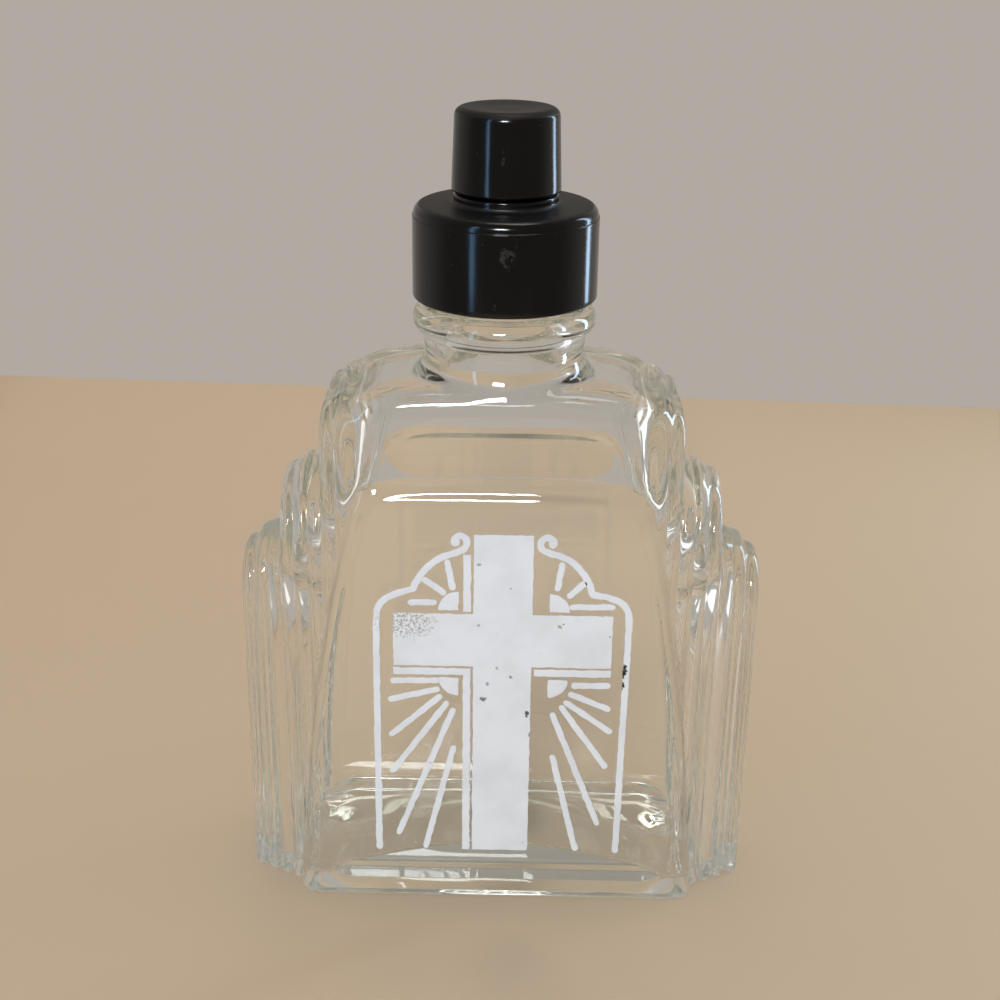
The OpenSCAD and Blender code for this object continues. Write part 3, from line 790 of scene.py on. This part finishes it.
# The print: flat plates of enamel on the front panel, each from its outline in width and height
prints = dict(
    skin=16.12,           # how far the enamel's face stands out from the middle plane
    sunk=15.97,           # its back lies just inside the glass
    bevel=0.05,
    spacing=0.22,         # of the points along an outline
    wobble=0.035,         # unevenness of the printed edges
    wobbleMost=0.09,
    waviness=0.7,         # waves in a mm above which it dies out
    middle=0.6,
    cross=dict(low=10.2, high=71.2, half=4.9, span=18.3, armLow=47.0, armHigh=56.8),
    shade=dict(gap=0.42, line=1.3, upperTop=67.6),
    sunRadius=3.4,
    suns=[   # corner and the way it opens
        (-6.75, 57.5, -1, 1), (8.3, 57.4, 1, 1), (-6.75, 44.75, -1, -1), (8.3, 44.6, 1, -1),
    ],
    rayWidth=1.08,
    rays=[   # from the sun outwards
        (-10.9, 58.85, -14.6, 58.8), (-9.3, 60.7, -12.4, 63.0), (-7.75, 61.6, -8.6, 66.1),
        (9.5, 61.8, 10.2, 66.0), (11.6, 60.5, 13.8, 62.7), (12.1, 58.4, 18.7, 58.5),
        (-10.5, 44.2, -17.7, 44.0), (-10.4, 42.5, -18.2, 40.4), (-10.0, 41.0, -18.1, 33.6),
        (-8.8, 39.7, -18.0, 26.3), (-7.7, 38.4, -17.1, 13.6), (-7.6, 31.0, -12.4, 10.8),
        (12.8, 43.6, 18.5, 43.7), (12.3, 41.9, 18.6, 39.2), (11.6, 40.3, 19.1, 34.8),
        (10.8, 39.3, 18.5, 27.9), (9.3, 37.8, 17.6, 16.2), (9.5, 29.5, 13.9, 10.8),
    ],
    frameWidth=1.15,
    leftArch=[
        (-20.6, 10.5), (-20.6, 20), (-20.55, 35), (-20.5, 50), (-20.45, 55.6), (-20.1, 57.8),
        (-19.0, 59.3), (-17.2, 60.3), (-15.2, 61.0), (-14.3, 61.3), (-13.7, 62.6), (-12.5, 64.6),
        (-10.6, 66.4), (-8.6, 67.5), (-6.8, 68.1), (-5.8, 68.8), (-5.45, 69.8), (-5.8, 70.7),
        (-6.6, 71.0), (-7.3, 70.5), (-7.3, 69.8),
    ],
    rightArch=[
        (21.05, 10.5), (21.15, 20), (21.3, 35), (21.5, 50), (21.5, 56.2), (21.1, 58.0),
        (20.0, 59.4), (18.2, 60.2), (16.2, 60.6), (15.3, 60.9), (14.8, 62.4), (13.6, 64.6),
        (11.8, 66.6), (9.8, 67.6), (8.1, 68.1), (7.0, 68.7), (6.6, 69.6), (6.9, 70.5),
        (7.7, 70.9), (8.5, 70.5), (8.6, 69.8),
    ],
    archPoints=160,
    scrollSwell=0.35,     # the line grows by this share in its scroll
    scrollFade=(148, 158),   # between these of its points
)


def evenly(outline, spacing, least=12):   # the same closed outline with points at even distances
    closed = np.vstack([outline, outline[:1]])
    length = np.concatenate([[0], np.cumsum(np.linalg.norm(np.diff(closed, axis=0), axis=1))])
    s = np.linspace(0, length[-1], max(int(length[-1] / spacing), least) + 1)[:-1]
    return np.stack([np.interp(s, length, closed[:, i]) for i in (0, 1)], 1)


def sideways(outline):                  # unit normals of a closed outline, out of a counter-clockwise one
    along = np.roll(outline, -1, 0) - np.roll(outline, 1, 0)
    n = np.stack([along[:, 1], -along[:, 0]], 1)
    return n / np.maximum(np.linalg.norm(n, axis=1, keepdims=True), 1e-9)


def stroke(path, width, ends=7):        # band along a path: offset to both sides, with round ends
    p = np.asarray(path, float)
    w = np.broadcast_to(np.asarray(width, float) / 2, len(p))[:, None]
    along = np.gradient(p, axis=0)
    along /= np.linalg.norm(along, axis=1, keepdims=True)
    side = np.stack([along[:, 1], -along[:, 0]], 1)
    a = np.linspace(-np.pi / 2, np.pi / 2, ends)[1:-1, None]
    tip = p[-1] + w[-1] * (np.cos(a) * along[-1] - np.sin(a) * side[-1])
    tail = p[0] + w[0] * (-np.cos(a) * along[0] + np.sin(a) * side[0])
    return np.vstack([p + w * side, tip, (p - w * side)[::-1], tail])


def bar(x0, z0, x1, z1):                # an upright rectangle
    return np.array([[x0, z0], [x1, z0], [x1, z1], [x0, z1]], float)


# One plate for each outline: a back loop inside the glass, a wall, a small bevel and a flat face. Its edge
# wanders by a smoothed noise.
def enamelPlates(name, outlines, seed):
    p = prints
    dice = np.random.default_rng(seed)
    parts = []
    for outline in outlines:
        o = evenly(np.asarray(outline, float), p["spacing"])
        area = np.sum(o[:, 0] * np.roll(o[:, 1], -1) - o[:, 1] * np.roll(o[:, 0], -1))
        if area < 0:
            o = o[::-1]
        n = len(o)
        smooth = np.exp(-(np.fft.rfftfreq(n, p["spacing"]) / p["waviness"]) ** 2)
        rough = np.fft.irfft(np.fft.rfft(dice.normal(size=n)) * smooth, n)
        rough *= p["wobble"] / max(rough.std(), 1e-9)
        o = o + sideways(o) * np.clip(rough, -p["wobbleMost"], p["wobbleMost"])[:, None]
        inset = o - sideways(o) * p["bevel"]
        loops = [(o, -p["sunk"]), (o, -p["skin"] + p["bevel"]), (inset, -p["skin"])]
        points = np.vstack([np.stack([l[:, 0], np.full(n, y), l[:, 1]], 1) for l, y in loops])
        ids = np.arange(3 * n).reshape(3, n)
        walls = gridFaces(ids, wrapCols=True)[:, ::-1].tolist()
        parts.append((points, walls + [ids[2].tolist(), ids[0][::-1].tolist()]))
    piece = makePiece(name, *gather(parts))
    piece.data.shade_flat()
    return piece


# Outlines: the cross as a polygon, bars beside it, quarter discs, and bands along the rays and the arches
def buildPrint(p):
    m, c, s = p["middle"], p["cross"], p["shade"]
    left, right, farLeft, farRight = m - c["half"], m + c["half"], m - c["span"], m + c["span"]
    crossOutline = [
        (left, c["low"]), (right, c["low"]), (right, c["armLow"]), (farRight, c["armLow"]),
        (farRight, c["armHigh"]), (right, c["armHigh"]), (right, c["high"]), (left, c["high"]),
        (left, c["armHigh"]), (farLeft, c["armHigh"]), (farLeft, c["armLow"]), (left, c["armLow"]),
    ]
    near = left - s["gap"]
    far = near - s["line"]
    under = c["armLow"] - s["gap"]
    lower = under - s["line"]
    shadeOutlines = [
        [(far, c["low"]), (near, c["low"]), (near, under), (farLeft, under), (farLeft, lower), (far, lower)],
        bar(far, c["armHigh"] + s["gap"], near, s["upperTop"]),
        bar(right + s["gap"], lower, farRight, under),
    ]
    turn = np.linspace(0, np.pi / 2, 14)
    quarter = p["sunRadius"] * np.stack([np.cos(turn), np.sin(turn)], 1)
    sunOutlines = [np.vstack([[x, z], [x, z] + quarter * [sx, sz]]) for x, z, sx, sz in p["suns"]]
    rayOutlines = [stroke(np.linspace(r[:2], r[2:], 8), p["rayWidth"], 6) for r in p["rays"]]
    count = p["archPoints"]
    width = p["frameWidth"] * (1 + p["scrollSwell"] * fade(*p["scrollFade"], np.arange(count)))
    arches = [stroke(curveThrough(path, count), width) for path in (p["leftArch"], p["rightArch"])]
    return [
        enamelPlates("print_cross", [crossOutline], 11), enamelPlates("print_arch", arches, 12),
        enamelPlates("print_rays", rayOutlines, 13), enamelPlates("print_suns", sunOutlines, 14),
        enamelPlates("print_shade", shadeOutlines, 15),
    ]


printCross, printArch, printRays, printSuns, printShade = buildPrint(prints)
print("print: cross, arch, rays, suns and shade")


# Shader sums as plain expressions: a socket that takes + - * / and adds the Math nodes
class Wire:
    def __init__(self, tree, socket=None):
        self.tree, self.socket = tree, socket

    def node(self, kind, settings=None, inputs=None, out=0):   # any node: settings, then values or links
        n = self.tree.nodes.new(kind)
        for key, value in (settings or {}).items():
            setattr(n, key, value)
        for key, value in (inputs or {}).items():
            if isinstance(value, Wire):
                self.tree.links.new(value.socket, n.inputs[key])
            else:
                n.inputs[key].default_value = value
        return Wire(self.tree, n.outputs[out]) if len(n.outputs) else None

    def sum(self, how, a, b):
        return self.node("ShaderNodeMath", {"operation": how}, {0: a, 1: b})

    def __add__(self, other):
        return self.sum("ADD", self, other)

    def __radd__(self, other):
        return self.sum("ADD", other, self)

    def __sub__(self, other):
        return self.sum("SUBTRACT", self, other)

    def __rsub__(self, other):
        return self.sum("SUBTRACT", other, self)

    def __mul__(self, other):
        return self.sum("MULTIPLY", self, other)

    def __rmul__(self, other):
        return self.sum("MULTIPLY", other, self)

    def __truediv__(self, other):
        return self.sum("DIVIDE", self, other)

    def above(self, low, high):          # 0 below low, 1 above high, smooth between
        return self.node("ShaderNodeMapRange", {"interpolation_type": "SMOOTHSTEP"},
                         {"Value": self, "From Min": low, "From Max": high, "To Min": 0.0, "To Max": 1.0})


def newMaterial(name):                   # an empty material and a wire to build it with
    material = bpy.data.materials.new(name)
    material.use_nodes = True
    material.node_tree.nodes.clear()
    return material, Wire(material.node_tree)


def tint(w, factor, a, b):               # mix of two colours
    return w.node("ShaderNodeMix", {"data_type": "RGBA"}, {0: factor, 6: a, 7: b}, 2)


def noise(w, where, scale, detail=2.0, rough=0.5):
    inputs = {"Vector": where, "Scale": scale, "Detail": detail, "Roughness": rough}
    return w.node("ShaderNodeTexNoise", None, inputs)


def bump(w, strength, distance, height):
    return w.node("ShaderNodeBump", None, {"Strength": strength, "Distance": distance, "Height": height})


def objectPlace(w):
    return w.node("ShaderNodeTexCoord", None, None, "Object")


def along(w, place, axis):               # one coordinate of a place
    return w.node("ShaderNodeSeparateXYZ", None, {0: place}, axis)


def away(at, middle, reach):             # squared distance from a middle, 1 at the reach
    return ((at - middle) / reach) * ((at - middle) / reach)


def output(w, **links):
    w.node("ShaderNodeOutputMaterial", None, links)


clearGlass = dict(
    tint=(0.99, 0.996, 0.993, 1),
    ior=1.5,
    through=(0.66, 0.84, 0.77, 1),   # what the thickness colours light to
    depth=5.0,
    shadow=(0.985, 0.987, 0.98, 1),
    swell=90,             # noise scales of the ripples
    fine=300,
    fineShare=0.15,
    ripple=0.012,
    rippleHeight=0.002,   # m
)


# Clear with a faint ripple and a little colour in its depth, and nearly open to shadow rays
def glassMaterial(g):
    material, w = newMaterial("clear glass")
    place = objectPlace(w)
    swell = noise(w, place, g["swell"], 1.0) + g["fineShare"] * noise(w, place, g["fine"], 1.0)
    body = w.node("ShaderNodeBsdfPrincipled", None, {
        "Base Color": g["tint"], "Roughness": 0.0, "IOR": g["ior"], "Transmission Weight": 1.0,
        "Normal": bump(w, g["ripple"], g["rippleHeight"], swell)})
    clear = w.node("ShaderNodeBsdfTransparent", None, {"Color": g["shadow"]})
    shadow = w.node("ShaderNodeLightPath", None, None, "Is Shadow Ray")
    surface = w.node("ShaderNodeMixShader", None, {0: shadow, 1: body, 2: clear})
    inside = w.node("ShaderNodeVolumeAbsorption", None, {"Color": g["through"], "Density": g["depth"]})
    output(w, Surface=surface, Volume=inside)
    return material


whiteEnamel = dict(
    white=(0.80, 0.83, 0.87, 1),
    dull=(0.73, 0.755, 0.79, 1),
    speck=(0.16, 0.15, 0.14, 1),
    worn=(0.42, 0.40, 0.37, 1),
    chip=(0.012, 0.012, 0.012, 1),
    rough=0.42,
    roughCloud=0.2,
    scales=dict(cloud=160, fine=2400, worn=2300, speck=800, ragged=1500),
    cloudLimits=(0.35, 0.75),   # noise values between which a mark sets in
    wornLimits=(0.655, 0.72),
    speckLimits=(0.745, 0.765),
    chipLimits=(0.6, 1.0),
    raggedness=4.5,       # of the chips' borders
    rub=(-15.8, 55.2, 8.0, 4.8),   # middle of the rubbed arm end, how far the wear reaches across and up
    rubLimits=(0.05, 1.0),
    rubLift=0.17,
    grain=0.15,
    grainHeight=0.0001,   # m
    wornDepth=2.0,
    chips=[   # place across and up, half width, half height, how dark
        (21.0, 46.7, 0.55, 1.3, 1.0), (20.8, 43.9, 0.5, 0.9, 1.0), (4.95, 38.1, 0.4, 0.7, 0.9),
        (-7.0, 29.6, 0.5, 0.5, 1.0), (-2.6, 40.8, 0.6, 0.5, 0.75), (9.95, 54.65, 0.45, 0.5, 0.5),
        (2.1, 45.1, 0.3, 0.32, 0.6), (-1.9, 43.7, 0.3, 0.35, 0.55), (-3.4, 65.9, 0.4, 0.25, 0.5),
        (5.4, 33.9, 0.2, 0.5, 0.6), (-0.3, 46.8, 0.25, 0.3, 0.45), (-3.5, 54.7, 0.3, 0.3, 0.45),
    ],
)


# White with soft clouds. A noise raised inside the rubbed patch gives its pale specks, sparse high spots of
# another give the dark ones, and the chips are ellipses with a noisy border.
def enamelMaterial(e):
    material, w = newMaterial("white enamel")
    place, scales = objectPlace(w), e["scales"]
    x, z = along(w, place, "X") / mm, along(w, place, "Z") / mm
    cloud = noise(w, place, scales["cloud"], 3.0)
    fine = noise(w, place, scales["fine"], 2.0)
    rubX, rubZ, rubWide, rubTall = e["rub"]
    rubbed = 1 - (away(x, rubX, rubWide) + away(z, rubZ, rubTall)).above(*e["rubLimits"])
    worn = noise(w, place, scales["worn"], 3.0, 0.65) + e["rubLift"] * rubbed
    worn = worn.above(*e["wornLimits"]) * rubbed
    specks = noise(w, place, scales["speck"], 2.0).above(*e["speckLimits"])
    ragged = e["raggedness"] * (noise(w, place, scales["ragged"], 3.0, 0.7) - 0.5)
    chips = 0.0
    for chipX, chipZ, wide, tall, dark in e["chips"]:
        outside = (away(x, chipX, wide) + away(z, chipZ, tall) + ragged).above(*e["chipLimits"])
        chips = w.sum("MAXIMUM", dark * (1 - outside), chips)
    colour = tint(w, cloud.above(*e["cloudLimits"]), e["white"], e["dull"])
    colour = tint(w, worn, colour, e["worn"])
    colour = tint(w, specks, colour, e["speck"])
    colour = tint(w, chips, colour, e["chip"])
    surface = w.node("ShaderNodeBsdfPrincipled", None, {
        "Base Color": colour, "Roughness": e["rough"] + e["roughCloud"] * cloud,
        "Normal": bump(w, e["grain"], e["grainHeight"], fine - e["wornDepth"] * worn)})
    output(w, Surface=surface)
    return material


blackPlastic = dict(
    colour=(0.0015, 0.0015, 0.0018, 1),
    dust=(0.05, 0.05, 0.048, 1),
    dustShare=0.5,
    scuffed=(0.017, 0.017, 0.0165, 1),
    rough=0.09,           # and how much rougher clouds, streaks, scuffs and the upper faces are
    roughCloud=0.06,
    roughStreak=0.04,
    roughScuff=0.3,
    dull=0.34,
    ior=1.42,
    flow=(1.0, 1.0, 0.08),   # draws the streaks out along the mould
    scales=dict(streak=700, cloud=130, dust=1900, grit=1700),
    dustLimits=(0.73, 0.77),   # noise values between which a mark sets in
    gritLimits=(0.58, 0.66),
    markLimits=(0.2, 1.0),
    markLift=0.12,
    front=(-2.0, 0.0),    # scuffs are on the front only, and fade out here
    grain=0.05,
    grainHeight=0.0004,   # m
    grainCloud=0.6,
    tops=[(121.6, 122.4), (136.1, 138)],   # levels of the duller upper faces
    topFade=0.3,
    scuffs=[   # across, up, half width, half height
        (0.4, 116.6, 1.6, 2.2), (-0.5, 130.2, 0.4, 1.9), (-1.4, 109.0, 0.2, 0.8),
    ],
)


# Near black, with fine streaks along the mould, dust, and scuffs on the front where a noise passes a limit
def plasticMaterial(b):
    material, w = newMaterial("black plastic")
    place, scales = objectPlace(w), b["scales"]
    x, y, z = (along(w, place, axis) / mm for axis in "XYZ")
    flow = w.node("ShaderNodeMapping", None, {0: place, "Scale": b["flow"]})
    streaks = noise(w, flow, scales["streak"], 2.0)
    cloud = noise(w, place, scales["cloud"], 2.0)
    dust = noise(w, place, scales["dust"], 2.0).above(*b["dustLimits"])
    grit = noise(w, place, scales["grit"], 4.0, 0.7)
    marks = 0.0
    for markX, markZ, wide, tall in b["scuffs"]:
        outside = (away(x, markX, wide) + away(z, markZ, tall)).above(*b["markLimits"])
        marks = w.sum("MAXIMUM", 1 - outside, marks)
    scuff = (grit + b["markLift"] * marks).above(*b["gritLimits"]) * marks * (1 - y.above(*b["front"]))
    top = 0.0
    for under, over in b["tops"]:
        top = z.above(under, under + b["topFade"]) - z.above(over, over + b["topFade"]) + top
    colour = tint(w, dust * b["dustShare"], b["colour"], b["dust"])
    colour = tint(w, scuff, colour, b["scuffed"])
    rough = b["rough"] + b["roughCloud"] * cloud + b["roughStreak"] * streaks
    surface = w.node("ShaderNodeBsdfPrincipled", None, {
        "Base Color": colour, "IOR": b["ior"], "Roughness": rough + b["roughScuff"] * scuff + b["dull"] * top,
        "Normal": bump(w, b["grain"], b["grainHeight"], streaks + b["grainCloud"] * cloud)})
    output(w, Surface=surface)
    return material


sealPulp = dict(
    pale=(0.74, 0.68, 0.56, 1),
    dark=(0.52, 0.45, 0.34, 1),
    rough=0.85,
    fibres=1300,          # noise scale
    fibreLimits=(0.35, 0.65),
    grain=0.4,
    grainHeight=0.0002,   # m
)


def pulpMaterial(s):                     # two browns mixed by a fibrous noise
    material, w = newMaterial("seal pulp")
    fibres = noise(w, objectPlace(w), s["fibres"], 4.0, 0.65)
    surface = w.node("ShaderNodeBsdfPrincipled", None, {
        "Base Color": tint(w, fibres.above(*s["fibreLimits"]), s["pale"], s["dark"]), "Roughness": s["rough"],
        "Normal": bump(w, s["grain"], s["grainHeight"], fibres)})
    output(w, Surface=surface)
    return material


dressing = [   # piece, body, nodes it stands for, slot, material
    (bottleGlass, "bottle", ["glass_bottle"], "clear_glass", glassMaterial(clearGlass)),
    (collarShell, "collar", ["collar_cap"], "black_plastic", plasticMaterial(blackPlastic)),
    (capShell, "cap", ["top_cap"], "black_plastic", None),
    (collarSeal, "collar_seal", ["collar_liner"], "liner_pulp", pulpMaterial(sealPulp)),
    (capSeal, "cap_seal", ["top_cap_liner"], "liner_pulp", None),
    (printCross, "bottle", ["cross_enamel"], "white_enamel", enamelMaterial(whiteEnamel)),
    (printArch, "bottle", ["frame_enamel"], "white_enamel", None),
    (printRays, "bottle", ["ray_enamel"], "white_enamel", None),
    (printSuns, "bottle", ["sun_enamel"], "white_enamel", None),
    (printShade, "bottle", ["shade_enamel"], "white_enamel", None),
]
lastMaterial = None      # a row without a material takes the one above it
for piece, body, nodes, slotName, material in dressing:
    lastMaterial = material or lastMaterial
    piece.data.materials.append(lastMaterial)
    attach(piece, body)
    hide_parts(*nodes)
print("pieces dressed:", len(dressing))


# Floor, world and lamps
stage = dict(
    half=215.0,           # half the floor's width
    near=-330.0,
    far=268.0,
    slant=-0.05,          # of its far edge
    edge=4.0,
    thick=30.0,
    drop=0.02,            # how far it lies under the base
    floor=(0.50, 0.375, 0.255, 1),
    grain=(0.40, 0.32, 0.23, 1),
    grainShare=0.12,
    grainScale=60,
    rough=0.6,
    wall=(0.44, 0.40, 0.36, 1),        # colours of the world: behind, above and in front
    above=(0.27, 0.247, 0.21, 1),
    front=(0.23, 0.21, 0.18, 1),
    aboveFade=(0.25, 0.75),
    frontFade=(-0.35, 0.25),
    bounces=24,           # enough for light that is trapped in the reeds
)


def buildFloor(s):                       # a slab with a rounded far edge that runs a little aslant
    flat = s["far"] - s["edge"]
    side = np.vstack([
        flatLine((s["near"], flat), 0, 12),
        roundEdge(flat, -s["edge"], s["edge"], 80, 0, 9),
        flatLine((s["far"], s["near"]), -s["thick"], 3),
    ])
    x = np.linspace(-s["half"], s["half"], 9)[:, None]
    reach = side[:, 0] + s["slant"] * x * (side[:, 0] > 0)
    points = np.stack(np.broadcast_arrays(x, reach, side[:, 1] - s["drop"]), -1)
    ids = np.arange(points[..., 0].size).reshape(points.shape[:2])
    faces = gridFaces(ids, wrapCols=True).tolist() + [ids[0].tolist(), ids[-1].tolist()]
    floor = makePiece("floor", points.reshape(-1, 3), faces, weld=True)
    material, w = newMaterial("pale floor")
    grain = noise(w, objectPlace(w), s["grainScale"], 4.0)
    colour = tint(w, s["grainShare"] * grain, s["floor"], s["grain"])
    surface = w.node("ShaderNodeBsdfPrincipled", None, {"Base Color": colour, "Roughness": s["rough"]})
    output(w, Surface=surface)
    floor.data.materials.append(material)


def buildWorld(s):                       # soft light whose colour changes with height and from front to back
    world = bpy.data.worlds.new("studio")
    bpy.context.scene.world = world
    world.use_nodes = True
    world.node_tree.nodes.clear()
    w = Wire(world.node_tree)
    way = w.node("ShaderNodeTexCoord", None, None, "Generated")
    sky = tint(w, along(w, way, "Z").above(*s["aboveFade"]), s["wall"], s["above"])
    sky = tint(w, along(w, way, "Y").above(*s["frontFade"]), s["front"], sky)
    light = w.node("ShaderNodeBackground", None, {"Color": sky, "Strength": 1.0})
    w.node("ShaderNodeOutputWorld", None, {"Surface": light})


lamps = [   # name, place, aim, width, height, watts, colour, seen in gloss, seen through glass
    ("window", (-0.235, -0.285, 0.23), (0, 0, 0.23), 0.034, 0.44, 0.27, (0.30, 0.60, 1.0), True, False),
    ("side", (0.30, 0.175, 0.18), (0, 0, 0.18), 0.045, 0.34, 0.5, (0.55, 0.76, 1.0), True, False),
    ("front", (-0.08, -0.78, 0.54), (0, 0, 0.06), 0.20, 0.16, 5.4, (0.95, 0.975, 1.0), True, True),
    ("overhead", (0.06, 0.10, 0.85), (0, 0, 0.05), 0.36, 0.24, 1.0, (1.0, 0.96, 0.90), True, True),
    ("right glow", (0.36, 0.12, 0.17), (0, 0, 0.10), 0.30, 0.26, 0.21, (0.84, 0.93, 1.0), False, True),
    ("left glow", (-0.36, -0.02, 0.17), (0, 0, 0.10), 0.22, 0.26, 0.11, (1.0, 0.98, 0.95), False, True),
    ("behind", (-0.10, 0.55, 0.45), (0, 0, 0.05), 0.40, 0.24, 1.6, (1.0, 0.975, 0.94), False, False),
]


def buildLamps(rows):                    # a lamp's axis runs from its aim to its place, its width is level
    for name, place, aim, wide, tall, watts, colour, inGloss, inGlass in rows:
        data = bpy.data.lights.new(name, "AREA")
        data.shape, data.size, data.size_y, data.energy, data.color = "RECTANGLE", wide, tall, watts, colour
        lamp = bpy.data.objects.new(name, data)
        z = np.array(place) - np.array(aim)
        z = z / np.linalg.norm(z)
        x = np.cross([0, 0, 1], z)
        x = x / np.linalg.norm(x)
        turn = np.eye(4)
        turn[:3, :3] = np.stack([x, np.cross(z, x), z], 1)
        turn[:3, 3] = place
        lamp.matrix_world = Matrix(turn.tolist())
        lamp.visible_camera = False
        lamp.visible_glossy = inGloss
        lamp.visible_transmission = inGlass
        bpy.context.scene.collection.objects.link(lamp)


buildFloor(stage)
buildWorld(stage)
buildLamps(lamps)
bpy.context.scene.view_settings.view_transform = "Standard"
bpy.context.scene.cycles.caustics_refractive = False   # the glass lets shadow rays through instead
bpy.context.scene.cycles.caustics_reflective = False
bpy.context.scene.cycles.max_bounces = stage["bounces"]
bpy.context.scene.cycles.transmission_bounces = stage["bounces"]
bpy.context.scene.cycles.glossy_bounces = stage["bounces"]
print("stage lit")
